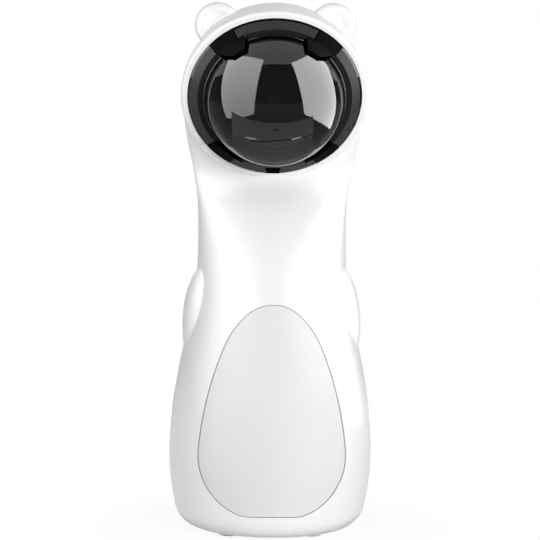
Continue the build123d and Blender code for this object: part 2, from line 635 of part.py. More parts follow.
def motor_pinion():
    """Brass pinion, a tooth gap facing the turret's gear."""
    high = turret_back() - MOVE
    low = high - PINION_LENGTH
    wheel = gear(PINION_TEETH, PINION_ADDENDUM, low, high, 180 / PINION_TEETH)
    wheel -= rod(SHAFT_R, -FAR, FAR)
    return FACE * Pos(GEAR_DISTANCE, 0, 0) * wheel


def motor_shaft():
    """Shaft from the motor's bearing up through the pinion."""
    return FACE * rod(SHAFT_R, PLATE_BACK_S - 2, turret_back() - MOVE, GEAR_DISTANCE)


def drive_gear():
    """Gear moulded to fit under the turret, with a hub that runs on the axle."""
    wheel = gear(GEAR_TEETH, GEAR_ADDENDUM, gear_back(), turret_back(), 0)
    hub_back = plate_front() + AXLE_BOSS_H + SLIP
    wheel += rod(AXLE_BOSS_R, hub_back, gear_back())
    wheel -= rod(AXLE_R + SLIP, -FAR, FAR)
    for angle in range(0, 360, 60):
        hole = Rot(0, 0, angle + 30) * rod(1.2, -FAR, FAR, 12.0)
        wheel -= hole
    return FACE * wheel


def slip_rings():
    """Two brass rings on the back of the gear."""
    rings = []
    for radius in RING_RADII:
        ring = rod(radius + RING_WIDE / 2, gear_back() - RING_THICK, gear_back())
        ring -= rod(radius - RING_WIDE / 2, -FAR, FAR)
        rings.append(FACE * ring)
    return rings


def brush_contacts():
    """Two bent leaf brushes that reach from the plate to the slip rings."""
    low = plate_front()
    high = gear_back() - RING_THICK - SLIP
    brushes = []
    for number, radius in enumerate(RING_RADII):
        side = -1 if number else 1
        start = radius - BRUSH_FOOT - BRUSH_REACH / 2
        path = Polyline(
            (-BRUSH_FOOT - BRUSH_REACH, low), (-BRUSH_REACH, low), (0, high - BRUSH_THICK), (1.2, high - BRUSH_THICK),
            (1.2, high), (-0.1, high), (-BRUSH_REACH - 0.1, low + BRUSH_THICK),
            (-BRUSH_FOOT - BRUSH_REACH, low + BRUSH_THICK), close=True)
        leaf = extrude(Plane.XZ * make_face(path), BRUSH_WIDE / 2, both=True)
        brushes.append(FACE * Rot(0, 0, 90 * side) * Pos(radius, -1.5 * side, 0) * Rot(0, 0, 90 * side) * leaf)
    return brushes


def laser_place():
    """Frame of the laser: origin on the turret's face, Z along the beam."""
    return Pos(-LASER_OFFSET, 0, TURRET_FRONT_S) * Rot(0, -LASER_LEAN, 0)


def turret_disc():
    """Turning disc with a slanted cup for the laser."""
    disc = rod(TURRET_R, turret_back(), TURRET_FRONT_S)
    disc = fillet(disc.edges().filter_by(GeomType.CIRCLE).group_by(Axis.Z)[-1], 0.5)
    cup = laser_place() * rod(LASER_R + FIT + CUP_WALL, -2, CUP_H)
    cup &= rod(TURRET_R, TURRET_FRONT_S - 0.5, FAR)
    disc += cup
    disc -= laser_place() * rod(LASER_R + SLIP, LASER_SEAT, FAR)
    disc -= rod(AXLE_R + SLIP, -FAR, FAR)
    counter = rod(CLIP_ROOM_R, TURRET_FRONT_S + SLIP, FAR)
    return FACE * (disc - counter)


def laser_module():
    """Brass laser barrel."""
    start = LASER_SEAT + SLIP
    barrel = rod(LASER_R, start, start + LASER_LENGTH)
    barrel = fillet(barrel.edges().filter_by(GeomType.CIRCLE), 0.3)
    barrel -= rod(LENS_R + SLIP, start + LASER_LENGTH - LENS_THICK - 0.3, FAR)
    barrel -= rod(LENS_R - 0.6, start + LASER_LENGTH - 3.0, FAR)
    return FACE * laser_place() * barrel


def laser_lens():
    """Small domed lens at the laser's mouth."""
    top = 0.8 + SLIP + LASER_LENGTH - 0.3
    bulge = (LENS_R ** 2 + 0.4 ** 2) / (2 * 0.4)
    lens = rod(LENS_R, top - LENS_THICK, top) & Pos(0, 0, top - bulge) * Sphere(bulge)
    return FACE * laser_place() * lens


def aim_lever():
    """Lever from the back of the plate through the slot, with a thumb pad outside."""
    pad_s = -(HEAD_R + PAD_CLEAR)
    lever = rod(LEVER_FOOT_R, PLATE_BACK_S - LEVER_FOOT_H, PLATE_BACK_S)
    stem = block(-LEVER_WIDE / 2, LEVER_WIDE / 2, -LEVER_DEEP / 2, LEVER_DEEP / 2, pad_s, PLATE_BACK_S)
    lever += fillet(stem.edges().filter_by(Axis.Z), LEVER_ROUND)
    pad = block(-PAD_WIDE / 2, PAD_WIDE / 2, -PAD_LONG / 2, PAD_LONG / 2, pad_s - PAD_THICK, pad_s)
    pad = fillet(pad.edges().filter_by(Axis.Z), 2.4)
    pad = fillet(pad.faces().sort_by(Axis.Z)[0].edges(), 0.8)
    for y in (-2.5, 0, 2.5):
        pad -= Pos(0, y, pad_s - PAD_THICK) * Rot(0, 90, 0) * Cylinder(0.45, FAR)
    return FACE * (lever + pad)


# ================================================================ base
def base_plate():
    """Round plate that closes the bottom, with recesses for feet and screws."""
    top = FOOT_DROP + WALL - FLOOR_LEDGE - FIT
    plate = rod(BASE_R - GAP, FOOT_DROP, top)
    for x, y in corners(FOOT_XY, FOOT_XY):
        plate -= rod(FOOT_R + FIT, 0, FOOT_DROP + FOOT_RECESS, x, y)
    for x, y in corners(BASE_SCREW_X, BASE_SCREW_Y):
        plate -= rod(SCREW_HOLE_R, 0, 10, x, y)
        plate -= rod(SCREW_HEAD_R + FIT, 0, FOOT_DROP + SCREW_HEAD_H * 0.6, x, y)
    return plate


def corners(x, y):
    return [(-x, -y), (x, -y), (-x, y), (x, y)]


def rubber_feet():
    """Four pads in the base plate's recesses."""
    pad = rod(FOOT_R, 0, FOOT_DROP + FOOT_RECESS)
    pad = fillet(pad.edges().filter_by(GeomType.CIRCLE).group_by(Axis.Z)[0], 0.4)
    return [Pos(x, y, 0) * pad for x, y in corners(FOOT_XY, FOOT_XY)]


def screw(length):
    """Pan-head screw along Z: head below z = 0, shank above."""
    head = rod(SCREW_HEAD_R, -SCREW_HEAD_H, 0)
    head = fillet(head.edges().filter_by(GeomType.CIRCLE).group_by(Axis.Z)[0], 0.5)
    head -= block(-SCREW_HEAD_R * 0.6, SCREW_HEAD_R * 0.6, -0.25, 0.25, -SCREW_HEAD_H, -SCREW_HEAD_H * 0.4)
    head -= block(-0.25, 0.25, -SCREW_HEAD_R * 0.6, SCREW_HEAD_R * 0.6, -SCREW_HEAD_H, -SCREW_HEAD_H * 0.4)
    shank = rod(SCREW_R, 0, length - 1) + Pos(0, 0, length - 1) * Cone(SCREW_R, 0.4, 1, align=(
        Align.CENTER, Align.CENTER, Align.MIN))
    return head + shank


def base_screws():
    seat = FOOT_DROP + SCREW_HEAD_H * 0.6
    return [Pos(x, y, seat) * screw(6.0) for x, y in corners(BASE_SCREW_X, BASE_SCREW_Y)]


def shell_screws():
    """Screws from the back, through the rear shell into the front shell's posts."""
    screws = []
    for x, z in SHELL_SCREWS:
        seat = seam_y(z) + SHELL_SCREW_SEAT
        screws.append(Pos(x, seat, z) * Rot(90, 0, 0) * screw(SHELL_SCREW_LENGTH + SHELL_SCREW_SEAT - 0.5))
    return screws


# ================================================================ batteries
def cell_places():
    return [(number * CELL_PITCH, CELL_Y) for number in (-1, 0, 1)]


def battery_tray():
    """Tray with three round channels, standing between the ribs of the rear shell."""
    tray = block(-TRAY_HALF_WIDTH, TRAY_HALF_WIDTH, TRAY_FRONT_Y, TRAY_BACK_Y, FOOT_DROP + WALL, TRAY_TOP)
    low = CELL_Z - 2.5
    high = TRAY_TOP - TRAY_WALL
    for x, y in cell_places():
        tray -= rod(CELL_R + FIT, low, high, x, y)
    under = block(-TRAY_HALF_WIDTH + TRAY_WALL, TRAY_HALF_WIDTH - TRAY_WALL, TRAY_FRONT_Y + TRAY_WALL, FAR, 0,
                  low - TRAY_WALL)
    return (tray - under) & column(WALL + FIT)


def battery_cells():
    """Three AA cells, the middle one turned over."""
    cells = []
    for number, (x, y) in enumerate(cell_places()):
        can = rod(CELL_R, 0, CELL_LENGTH)
        can = fillet(can.edges().filter_by(GeomType.CIRCLE), 0.6)
        can += rod(CELL_NUB_R, CELL_LENGTH - 0.2, CELL_LENGTH + CELL_NUB_H)
        if number == 1:
            can = Pos(0, 0, CELL_LENGTH + CELL_NUB_H) * Rot(180, 0, 0) * can
        cells.append(Pos(x, y, CELL_Z) * can)
    return cells


def battery_contacts():
    """Contact plates under and over the cells, each with a raised spring seat."""
    low = CELL_Z - 2.5
    high = TRAY_TOP - TRAY_WALL
    contacts = []
    for x, y in cell_places():
        cell_top = CELL_Z + CELL_LENGTH + CELL_NUB_H
        bottom = block(x - CONTACT_WIDE / 2, x + CONTACT_WIDE / 2, y - CONTACT_DEEP / 2, y + CONTACT_DEEP / 2,
                       low, low + CONTACT_THICK)
        bottom += rod(SPRING_R, low, CELL_Z - SLIP, x, y) - rod(SPRING_R - SPRING_WIRE, low, CELL_Z, x, y)
        top = block(x - CONTACT_WIDE / 2, x + CONTACT_WIDE / 2, y - CONTACT_DEEP / 2, y + CONTACT_DEEP / 2,
                    high - CONTACT_THICK, high)
        top += rod(SPRING_R, cell_top + SLIP, high, x, y) - rod(SPRING_R - SPRING_WIRE, cell_top, high, x, y)
        contacts += [bottom, top]
    return contacts


def battery_door():
    """Door that continues the curve of the back, with a ribbed thumb grip."""
    door = column() & door_prism()
    door -= column(DOOR_THICK)
    for number in range(GRIP_COUNT):
        z = GRIP_TOP - number * GRIP_PITCH
        door -= Pos(0, body_at(z, 4), z) * Box(GRIP_WIDE, 2 * GRIP_DEEP, GRIP_HIGH)
    return door


# ================================================================ electronics
def main_board():
    """Circuit board behind the neck, with its chip and two small parts."""
    board = block(-BOARD_HALF_WIDTH, BOARD_HALF_WIDTH, BOARD_BACK_Y - BOARD_THICK, BOARD_BACK_Y, BOARD_LOW, BOARD_HIGH)
    board = fillet(board.edges().filter_by(Axis.Y), 1.5)
    for x in (-BOARD_SCREW_X, BOARD_SCREW_X):
        for z in BOARD_SCREW_ZS:
            board -= bar_y(SCREW_HOLE_R, x, z, 0, FAR)
    front = BOARD_BACK_Y - BOARD_THICK
    middle = (BOARD_LOW + BOARD_HIGH) / 2
    board += block(-CHIP_SIDE / 2, CHIP_SIDE / 2, front - CHIP_H, front, middle, middle + CHIP_SIDE)
    for x in (-6.0, 6.0):
        board += bar_y(2.0, x, BOARD_LOW + 8, front - 5, front)
    return board


def board_screws():
    """Screws from the front of the board into the rear shell's posts."""
    front = BOARD_BACK_Y - BOARD_THICK
    screws = []
    for x in (-BOARD_SCREW_X, BOARD_SCREW_X):
        for z in BOARD_SCREW_ZS:
            screws.append(Pos(x, front, z) * Rot(-90, 0, 0) * screw(BOARD_THICK + BOARD_SCREW_LENGTH - 0.3))
    return screws


def usb_socket():
    """Socket that stands on the board with its mouth in the back of the shell."""
    y0, y1 = BOARD_BACK_Y, BOARD_BACK_Y + USB_LENGTH
    outer = block(-USB_WIDE / 2, USB_WIDE / 2, y0, y1, USB_Z - USB_HIGH / 2, USB_Z + USB_HIGH / 2)
    outer = fillet(outer.edges().filter_by(Axis.Y), USB_HIGH / 3)
    half_w, half_h = USB_WIDE / 2 - USB_SHELL, USB_HIGH / 2 - USB_SHELL
    mouth = block(-half_w, half_w, y1 - 6.5, y1 + 1, USB_Z - half_h, USB_Z + half_h)
    mouth = fillet(mouth.edges().filter_by(Axis.Y), half_h * 0.6)
    tongue = block(-half_w * 0.78, half_w * 0.78, y1 - 6.6, y1 - 1.0, USB_Z - 0.35, USB_Z + 0.35)
    return outer - mouth + tongue


def tact_switch():
    """Push switch on the board behind the button."""
    half = SWITCH_SIDE / 2
    y1 = BOARD_BACK_Y + SWITCH_H
    body = block(-half, half, BOARD_BACK_Y, y1, SWITCH_Z - half, SWITCH_Z + half)
    return body + bar_y(PLUNGER_R, 0, SWITCH_Z, y1, y1 + PLUNGER_H)


def mode_button():
    """Push button in the back, its stem over the switch's plunger."""
    face_y = body_at(SWITCH_Z, 4) + BUTTON_PROUD
    flange_y = body_at(SWITCH_Z, 4) - WALL - 0.9
    stem_y = BOARD_BACK_Y + SWITCH_H + PLUNGER_H + BUTTON_TRAVEL + SLIP
    cap = bar_y(BUTTON_R, 0, SWITCH_Z, flange_y - BUTTON_FLANGE_H, face_y)
    cap = fillet(cap.edges().filter_by(GeomType.CIRCLE).group_by(Axis.Y)[-1], 0.8)
    cap += bar_y(BUTTON_FLANGE_R, 0, SWITCH_Z, flange_y - BUTTON_FLANGE_H, flange_y)
    cap += bar_y(BUTTON_STEM_R, 0, SWITCH_Z, stem_y, flange_y)
    return cap


def indicator_led():
    """Round LED standing on the board."""
    top = BOARD_BACK_Y + LED_H
    led = bar_y(LED_R, 0, LED_Z, BOARD_BACK_Y, top - LED_R)
    led += Pos(0, top - LED_R, LED_Z) * Sphere(LED_R)
    return led + bar_y(LED_R + 0.4, 0, LED_Z, BOARD_BACK_Y, BOARD_BACK_Y + 1.0)


def light_pipe():
    """Clear rod that carries the LED's light through the shell."""
    outside = body_at(LED_Z, 4) + PIPE_PROUD
    pipe = bar_y(PIPE_R, 0, LED_Z, BOARD_BACK_Y + LED_H + FIT, outside)
    return fillet(pipe.edges().filter_by(GeomType.CIRCLE).group_by(Axis.Y)[-1], 0.4)


# ================================================================ export
def pieces():
    wall = shells()
    return {
        "front_shell": front_shell(wall),
        "rear_shell": rear_shell(wall),
        "belly_panel": belly_panel(),
        "face_dome": face_dome(),
        "face_bezel": face_bezel(),
        "base_plate": base_plate(),
        "rubber_feet": rubber_feet(),
        "base_screws": base_screws(),
        "shell_screws": shell_screws(),
        "battery_tray": battery_tray(),
        "battery_cells": battery_cells(),
        "battery_contacts": battery_contacts(),
        "battery_door": battery_door(),
        "main_board": main_board(),
        "board_screws": board_screws(),
        "usb_socket": usb_socket(),
        "tact_switch": tact_switch(),
        "mode_button": mode_button(),
        "indicator_led": indicator_led(),
        "light_pipe": light_pipe(),
        "cradle_plate": cradle_plate(),
        "turret_axle": turret_axle(),
        "axle_clip": axle_clip(),
        "gear_motor": gear_motor(),
        "motor_shaft": motor_shaft(),
        "motor_pinion": motor_pinion(),
        "brush_contacts": brush_contacts(),
        "aim_lever": aim_lever(),
        "turret_disc": turret_disc(),
        "drive_gear": drive_gear(),
        "slip_rings": slip_rings(),
        "laser_module": laser_module(),
        "laser_lens": laser_lens(),
    }


def main():
    os.makedirs("parts", exist_ok=True)
    for name, shape in pieces().items():
        solids = shape if isinstance(shape, list) else [shape]
        whole = Compound(children=[solid for piece in solids for solid in piece.solids()])
        export_step(whole, f"parts/{name}.step")


main()
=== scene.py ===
import math

import bpy
import numpy as np
from mathutils import Matrix, Vector


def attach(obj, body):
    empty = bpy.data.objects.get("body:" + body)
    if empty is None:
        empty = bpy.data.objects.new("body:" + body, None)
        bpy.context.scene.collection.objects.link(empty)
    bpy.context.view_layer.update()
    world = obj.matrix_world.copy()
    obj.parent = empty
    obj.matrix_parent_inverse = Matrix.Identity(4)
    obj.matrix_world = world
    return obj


bl_info = {
    "name": "Cat laser toy finishes",
    "version": (1, 0, 0),
    "blender": (4, 5, 0),
    "location": "3D View > Sidebar > Laser toy",
    "description": "Finishes, face details and studio for an automatic cat laser toy",
    "category": "Object",
}

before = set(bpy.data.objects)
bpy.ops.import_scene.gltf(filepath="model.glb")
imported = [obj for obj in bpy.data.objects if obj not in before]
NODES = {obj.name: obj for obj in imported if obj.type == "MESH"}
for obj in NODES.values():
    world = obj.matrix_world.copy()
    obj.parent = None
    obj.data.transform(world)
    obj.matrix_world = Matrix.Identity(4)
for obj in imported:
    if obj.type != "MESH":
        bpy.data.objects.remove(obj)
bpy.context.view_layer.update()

# ---------------------------------------------------------------- sizes
MM = 0.001

# The face is the round front of the head: heights are measured along FACE_OUT from FACE_CENTRE
FACE_TILT = math.radians(22.0)
FACE_CENTRE = np.array((0.0, -10.0, 168.0)) * MM
FACE_OUT = np.array((0.0, -math.cos(FACE_TILT), -math.sin(FACE_TILT)))
FACE_UP = np.array((0.0, -math.sin(FACE_TILT), math.cos(FACE_TILT)))

# Four hooks hold the dome, at these angles from the face's right, degrees
HOOK_1, HOOK_2, HOOK_3, HOOK_4 = 50.0, 130.0, 230.0, 310.0
HOOK_HALF = 10.6             # half of the gap that both rings leave at a hook, degrees
CLAW_HALF = 17.0             # the same for the root ring's arcs at the top and the bottom, between two claws
KEY_PLACE = 270.0            # place of the small key at the bottom of the flange, degrees
KEY_HALF = math.degrees(math.asin(3.1 / 31.5))   # half of the gap there: 3.1 mm at a radius of 31.5 mm
ARC_STEPS = 48               # quads along each arc

# Etched border on the flange's slope: (radius, height) of its edges and how far it lies over the slope, mm
BORDER_OUTER, BORDER_INNER, BORDER_LIFT = (32.35, 0.30), (29.32, 1.70), 0.03
# Ring of painted shade on the flange's flat, at the dome's foot, mm
ROOT_OUTER, ROOT_INNER, ROOT_HEIGHT = 29.3, 27.3, 1.78

# ---------------------------------------------------------------- studio's places
# Camera: point looked at in mm, azimuth and elevation of the camera, and roll, degrees
VIEW_AIM, VIEW_AZIMUTH, VIEW_ELEVATION, VIEW_ROLL = (-0.77, 0.0, 100.2), -1.5, 8.0, 0.65
# Lamps: azimuth and elevation in degrees, distance from the point that they face and size, metres
KEY_LAMP = (26, 16, 1.3, (0.5, 0.25))
SIDE_LAMP = (-93, 13, 1.1, (1.0, 1.0))
LAMP_AIM = 0.11              # height of the point that both face, metres
# The floor turns to plain white between these distances from the toy's middle, metres, from this share of it
FADE_START, FADE_STOP, FADE_SHARE = 0.04, 0.085, 0.92

# Dark wall round the toy, seen in the dome: elevation of its top at each azimuth and of its foot, degrees,
# distance in metres, and brightness in front and behind
WALL_AZIMUTHS = (-170, -142, -107, -35, -2, 39, 121, 157, 170)
WALL_TOPS = (-6, 3, 19, 54, 57, 54, 9, -2, -6)
WALL_FOOT, WALL_RADIUS, WALL_LEVELS = -8.0, 1.2, (0.11, 0.04)
# Level cards: ranges of x and y and the height, metres, and brightness in front and behind
FLAGS = {
    "dark_table": ((-6.0, 6.0), (-1.2, 1.5), 0.002, (0.3, 0.02)),
    "bib": ((-0.031, 0.029), (-0.0305, -0.002), 0.136, (0.55, 0.03)),
}
# Curved cards: distance from the face in metres, brightness at CARD_LOW and CARD_HIGH, heights in metres,
# and a 3 by 3 grid of points on the card, each its azimuth and elevation in degrees
CARD_LOW, CARD_HIGH = 0.05, 0.42
PANELS = {
    "left_box": (0.33, (3.4, 5.4), (
        ((-117, 36), (-83, 54), (-33, 60)),
        ((-98, 12), (-64, 17), (-30, 19)),
        ((-91, -26), (-63, -28), (-35, -23)))),
    "right_box": (0.30, (6.6, 7.3), (
        ((39, 54), (82, 53), (127, 37)),
        ((39, 15), (67, 10), (110, 8)),
        ((48, -22), (78, -29), (126, -28)))),
    "low_card": (0.165, (0.65, 0.65), (
        ((-73, -18), (-6, -36), (63, -23)),
        ((-91, -40), (-9, -70), (94, -48)),
        ((-136, -44), (-177, -71), (141, -47)))),
    "line": (0.160, (0.1, 0.1), (
        ((-102.7, -41.0), (1.1, -66.0), (84.1, -44.5)),
        ((-104.1, -41.4), (1.2, -67.1), (85.4, -45.0)),
        ((-105.6, -41.7), (1.3, -68.3), (86.8, -45.6)))),
    "left_dash": (0.158, (4.0, 4.0), (
        ((-75.0, -52.1), (-63.5, -56.3), (-48.7, -59.6)),
        ((-76.5, -52.8), (-65.0, -57.2), (-50.2, -60.6)),
        ((-78.1, -53.4), (-66.8, -58.1), (-51.7, -61.6)))),
    "right_dash": (0.158, (4.0, 4.0), (
        ((44.3, -60.1), (54.2, -56.8), (63.2, -52.7)),
        ((45.7, -61.0), (55.6, -57.6), (64.6, -53.4)),
        ((47.1, -62.0), (57.2, -58.5), (66.0, -54.2)))),
}


# ---------------------------------------------------------------- settings
def grey(level):
    """Linear colour, with alpha, of a neutral grey given as an 8-bit display level."""
    share = level / 255.0
    linear = share / 12.92 if share <= 0.04045 else ((share + 0.055) / 1.055) ** 2.4
    return (linear, linear, linear, 1.0)


def colour(name, default, description):
    """A colour property with its default."""
    return bpy.props.FloatVectorProperty(
        name=name, description=description, default=default, size=4, min=0.0, max=1.0, subtype="COLOR")


def amount(name, default, description, low=0.0, high=1.0):
    """A factor from low to high."""
    return bpy.props.FloatProperty(
        name=name, description=description, default=default, min=low, max=high, subtype="FACTOR")


def measure(name, default, description, unit, low, high):
    """A length in metres or a power in watts, from low to high."""
    return bpy.props.FloatProperty(
        name=name, description=description, default=default, min=low, max=high, unit=unit, precision=5)


class ShellSettings(bpy.types.PropertyGroup):
    """Moulded shells, belly panel and battery door."""
    shell_colour: colour("Shell colour", grey(236), "Colour of the white moulded shells")
    shell_gloss: amount("Shell roughness", 0.36, "Roughness of the white shells")
    belly_colour: colour("Belly colour", grey(218), "Colour of the belly panel")
    belly_gloss: amount("Belly roughness", 0.52, "Roughness of the belly panel")
    grain: measure("Grain size", 0.0006, "Size of the moulding's finest texture", "LENGTH", 0.0001, 0.01)


class FaceSettings(bpy.types.PropertyGroup):
    """Smoked dome and the black frame round it."""
    dome_colour: colour("Dome tint", (0.07, 0.07, 0.072, 1.0), "Tint of the smoked dome")
    dome_gloss: amount("Dome roughness", 0.012, "Roughness of the dome")
    border_colour: colour("Border colour", grey(50), "Colour of the etched border round the dome")
    frame_colour: colour("Frame colour", grey(7), "Colour of the black frame and hooks")


class StudioSettings(bpy.types.PropertyGroup):
    """Lamps, reflecting panels, floor and camera."""
    distance: measure("Camera distance", 1.6, "Distance from the camera to the toy", "LENGTH", 0.3, 5.0)
    view_width: measure("View width", 0.2072, "Width of the view at the toy", "LENGTH", 0.05, 2.0)
    fill: amount("Room light", 0.33, "Level of the even light all round", 0.0, 2.0)
    key: measure("Key lamp", 11.6, "Power of the lamp ahead at the right", "POWER", 0.0, 50.0)
    side: measure("Side lamp", 5.0, "Power of the lamp at the left", "POWER", 0.0, 50.0)


# ---------------------------------------------------------------- materials
def material(name):
    """A node material that holds only its output, with its node tree and that output."""
    found = bpy.data.materials.get(name) or bpy.data.materials.new(name)
    found.use_nodes = True
    tree = found.node_tree
    tree.nodes.clear()
    out = tree.nodes.new("ShaderNodeOutputMaterial")
    return found, tree, out


def node(tree, kind, **inputs):
    """A node whose sockets are set by name, with an underscore for each space."""
    made = tree.nodes.new(kind)
    for key, value in inputs.items():
        made.inputs[key.replace("_", " ")].default_value = value
    return made


def noise(tree, place, size, detail=3.0, roughness=0.5):
    """Noise of a given size in metres on the object's own coordinates."""
    made = node(tree, "ShaderNodeTexNoise", Scale=1.0 / size, Detail=detail, Roughness=roughness)
    tree.links.new(place.outputs["Object"], made.inputs["Vector"])
    return made.outputs["Fac"]


def spread(tree, value, low, high, start=0.3, stop=0.7):
    """value between start and stop becomes low to high."""
    made = node(tree, "ShaderNodeMapRange", From_Min=start, From_Max=stop, To_Min=low, To_Max=high)
    tree.links.new(value, made.inputs["Value"])
    return made.outputs["Result"]


def shade(tree, value, base, change):
    """Colour base, darkened by up to the share change as value falls."""
    mix = tree.nodes.new("ShaderNodeMix")
    mix.data_type = "RGBA"
    mix.inputs["A"].default_value = tuple(c * (1.0 - change) for c in base[:3]) + (1.0,)
    mix.inputs["B"].default_value = base
    tree.links.new(value, mix.inputs["Factor"])
    return mix.outputs["Result"]


def plastic(name, base, rough, grain, depth=0.00002, change=0.02, rough_change=0.06, **fixed):
    """Moulded plastic: faint cloudiness, fine moulding grain and slightly uneven gloss."""
    made, tree, out = material(name)
    place = tree.nodes.new("ShaderNodeTexCoord")
    surface = node(tree, "ShaderNodeBsdfPrincipled", IOR=1.49, **fixed)
    cloud = noise(tree, place, 0.03, 2.0)
    fine = noise(tree, place, grain, 4.0, 0.6)
    tree.links.new(shade(tree, spread(tree, cloud, 0.0, 1.0), base, change), surface.inputs["Base Color"])
    tree.links.new(spread(tree, noise(tree, place, 0.008, 3.0), rough - rough_change, rough + rough_change),
                   surface.inputs["Roughness"])
    bump = node(tree, "ShaderNodeBump", Strength=0.35, Distance=depth)
    tree.links.new(fine, bump.inputs["Height"])
    tree.links.new(bump.outputs["Normal"], surface.inputs["Normal"])
    tree.links.new(surface.outputs["BSDF"], out.inputs["Surface"])
    return made


def metal(name, base, rough, stretch=(1.0, 1.0, 12.0)):
    """Drawn or turned metal: streaks along one way, with uneven gloss."""
    made, tree, out = material(name)
    place = tree.nodes.new("ShaderNodeTexCoord")
    turn = node(tree, "ShaderNodeMapping", Scale=stretch)
    tree.links.new(place.outputs["Object"], turn.inputs["Vector"])
    streak = node(tree, "ShaderNodeTexNoise", Scale=900.0, Detail=3.0)
    tree.links.new(turn.outputs["Vector"], streak.inputs["Vector"])
    surface = node(tree, "ShaderNodeBsdfPrincipled", Metallic=1.0)
    tree.links.new(shade(tree, streak.outputs["Fac"], base, 0.18), surface.inputs["Base Color"])
    tree.links.new(spread(tree, streak.outputs["Fac"], rough - 0.08, rough + 0.1), surface.inputs["Roughness"])
    bump = node(tree, "ShaderNodeBump", Strength=0.25, Distance=0.00001)
    tree.links.new(streak.outputs["Fac"], bump.inputs["Height"])
    tree.links.new(bump.outputs["Normal"], surface.inputs["Normal"])
    tree.links.new(surface.outputs["BSDF"], out.inputs["Surface"])
    return made


def smoked(name, tint, rough):
    """Smoked clear plastic: nearly black, glossy, and faintly see-through."""
    made, tree, out = material(name)
    place = tree.nodes.new("ShaderNodeTexCoord")
    surface = node(tree, "ShaderNodeBsdfPrincipled", IOR=1.58)
    surface.inputs["Transmission Weight"].default_value = 1.0
    streak = noise(tree, place, 0.012, 2.0)
    tree.links.new(shade(tree, spread(tree, streak, 0.0, 1.0), tint, 0.1), surface.inputs["Base Color"])
    gloss = spread(tree, noise(tree, place, 0.02, 1.0), rough * 0.9, rough * 1.2)
    tree.links.new(gloss, surface.inputs["Roughness"])
    tree.links.new(surface.outputs["BSDF"], out.inputs["Surface"])
    return made


def paint(names, made):
    """Give the nodes this material in all their slots."""
    for name in names:
        slots = NODES[name].material_slots
        for slot in slots:
            slot.material = made
        if not slots:
            NODES[name].data.materials.append(made)


# ---------------------------------------------------------------- surfaces
def grid_object(name, points, closed=False):
    """Object whose quads join neighbouring points of an (n, m, 3) grid, closed round the first way if asked."""
    n, m = points.shape[:2]
    rows = np.arange(n if closed else n - 1)
    cols = np.arange(m - 1)
    i, j = (x.ravel() for x in np.meshgrid(rows, cols, indexing="ij"))
    k = (i + 1) % n
    faces = np.stack((i * m + j, k * m + j, k * m + j + 1, i * m + j + 1), 1)
    mesh = bpy.data.meshes.new(name)
    mesh.from_pydata(points.reshape(-1, 3).tolist(), [], faces.tolist())
    mesh.polygons.foreach_set("use_smooth", np.ones(len(faces), bool))
    mesh.update()
    made = bpy.data.objects.new(name, mesh)
    bpy.context.scene.collection.objects.link(made)
    return made


def turned_sector(profile, start, stop, steps):
    """Points of a profile of (radius, height) pairs turned about the face's axis from start to stop degrees.

    Each point is centre + radius * (cos a * right + sin a * up) + height * out.
    """
    angle = np.radians(np.linspace(start, stop, steps + 1))[:, None, None]
    radius, height = (np.array(profile).T * MM)[:, None, :, None]
    right = np.array((1.0, 0.0, 0.0))
    return FACE_CENTRE + radius * (np.cos(angle) * right + np.sin(angle) * FACE_UP) + height * FACE_OUT


def ring(name, profile, arcs):
    """One object of the profile turned through each arc, given as its start and stop in degrees."""
    parts = [grid_object(name, turned_sector(profile, *arc, ARC_STEPS)) for arc in arcs]
    with bpy.context.temp_override(active_object=parts[0], object=parts[0], selected_editable_objects=parts):
        bpy.ops.object.join()
    return parts[0]


def etched_border():
    """Satin border on the dome's sloping flange: five arcs of a cone between the hooks and the key."""
    (outer, low), (inner, high) = BORDER_OUTER, BORDER_INNER
    slope = np.linspace(0, 1, 7)
    profile = [(outer + (inner - outer) * t, low + (high - low) * t + BORDER_LIFT) for t in slope]
    return ring("etched_border", profile, (
        (HOOK_4 - 360 + HOOK_HALF, HOOK_1 - HOOK_HALF), (HOOK_1 + HOOK_HALF, HOOK_2 - HOOK_HALF),
        (HOOK_2 + HOOK_HALF, HOOK_3 - HOOK_HALF), (HOOK_3 + HOOK_HALF, KEY_PLACE - KEY_HALF),
        (KEY_PLACE + KEY_HALF, HOOK_4 - HOOK_HALF)))


def root_shade_ring():
    """Dark ring of painted shade on the flat of the flange at the dome's foot, in four arcs between the hooks.
    """
    profile = [(radius, ROOT_HEIGHT) for radius in np.linspace(ROOT_OUTER, ROOT_INNER, 5)]
    return ring("root_shade_ring", profile, (
        (HOOK_4 - 360 + HOOK_HALF, HOOK_1 - HOOK_HALF), (HOOK_2 + HOOK_HALF, HOOK_3 - HOOK_HALF),
        (HOOK_1 + CLAW_HALF, HOOK_2 - CLAW_HALF), (HOOK_3 + CLAW_HALF, HOOK_4 - CLAW_HALF)))


# ---------------------------------------------------------------- operators
class ToyOperator:
    """Shared options of the toy's operators."""
    bl_options = {"REGISTER", "UNDO"}


class TOY_OT_shells(ToyOperator, bpy.types.Operator):
    """Finish the white shells, the battery door and the belly panel"""
    bl_idname = "laser_toy.shells"
    bl_label = "Finish shells"

    def execute(self, context):
        s = context.scene.laser_toy_shells
        shell = plastic("white_abs", tuple(s.shell_colour), s.shell_gloss, s.grain,
                        depth=0.000004, change=0.012, rough_change=0.03)
        paint(["front_shell", "rear_shell", "battery_door"], shell)
        belly = plastic("belly_satin", tuple(s.belly_colour), s.belly_gloss, s.grain * 0.8,
                        depth=0.00001, rough_change=0.04)
        paint(["belly_panel"], belly)
        return {"FINISHED"}


